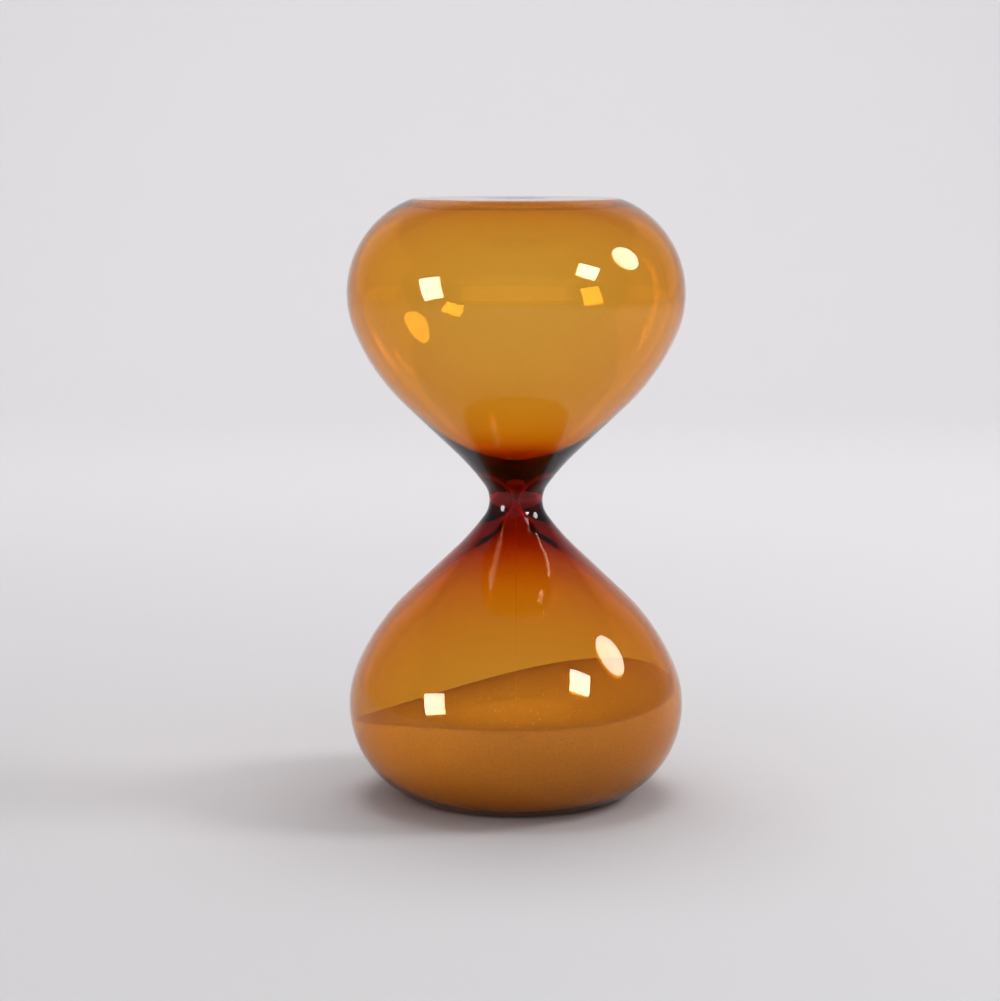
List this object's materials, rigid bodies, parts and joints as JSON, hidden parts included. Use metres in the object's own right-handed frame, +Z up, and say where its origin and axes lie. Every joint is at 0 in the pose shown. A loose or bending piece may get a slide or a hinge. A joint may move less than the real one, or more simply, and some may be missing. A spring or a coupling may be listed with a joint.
{
  "type": "hourglass",
  "caption": "Frameless blown amber-glass hourglass: round-shouldered bulbs on a solid waist, flat ends to stand on, white sand tilted in the lower bulb.",
  "frame": {"origin": "centre of the lower flat end, in the plane that the glass stands on", "axes": "+Z up along the axis on which the glass is turned, -Y towards the front, +X to the right as seen from the front"},
  "size_m": [0.0838, 0.0838, 0.15],
  "materials": {
    "bulb_glass": "polished",
    "waist_glass": "polished",
    "sand": "matte"
  },
  "bodies": {
    "glass": {"lower_bulb": "bulb_glass", "upper_bulb": "bulb_glass", "waist": "waist_glass", "lower_seal": "bulb_glass", "upper_seal": "bulb_glass"},
    "sand": {"sand_bed": "sand", "falling_sand": "sand", "sand_remainder": "sand"}
  },
  "joints": [
    {"name": "sand_swirl", "type": "hinge", "parent": "glass", "child": "sand", "pos_m": [0, 0, 0.0022], "axis": [0, 0, 1], "continuous": true}
  ]
}
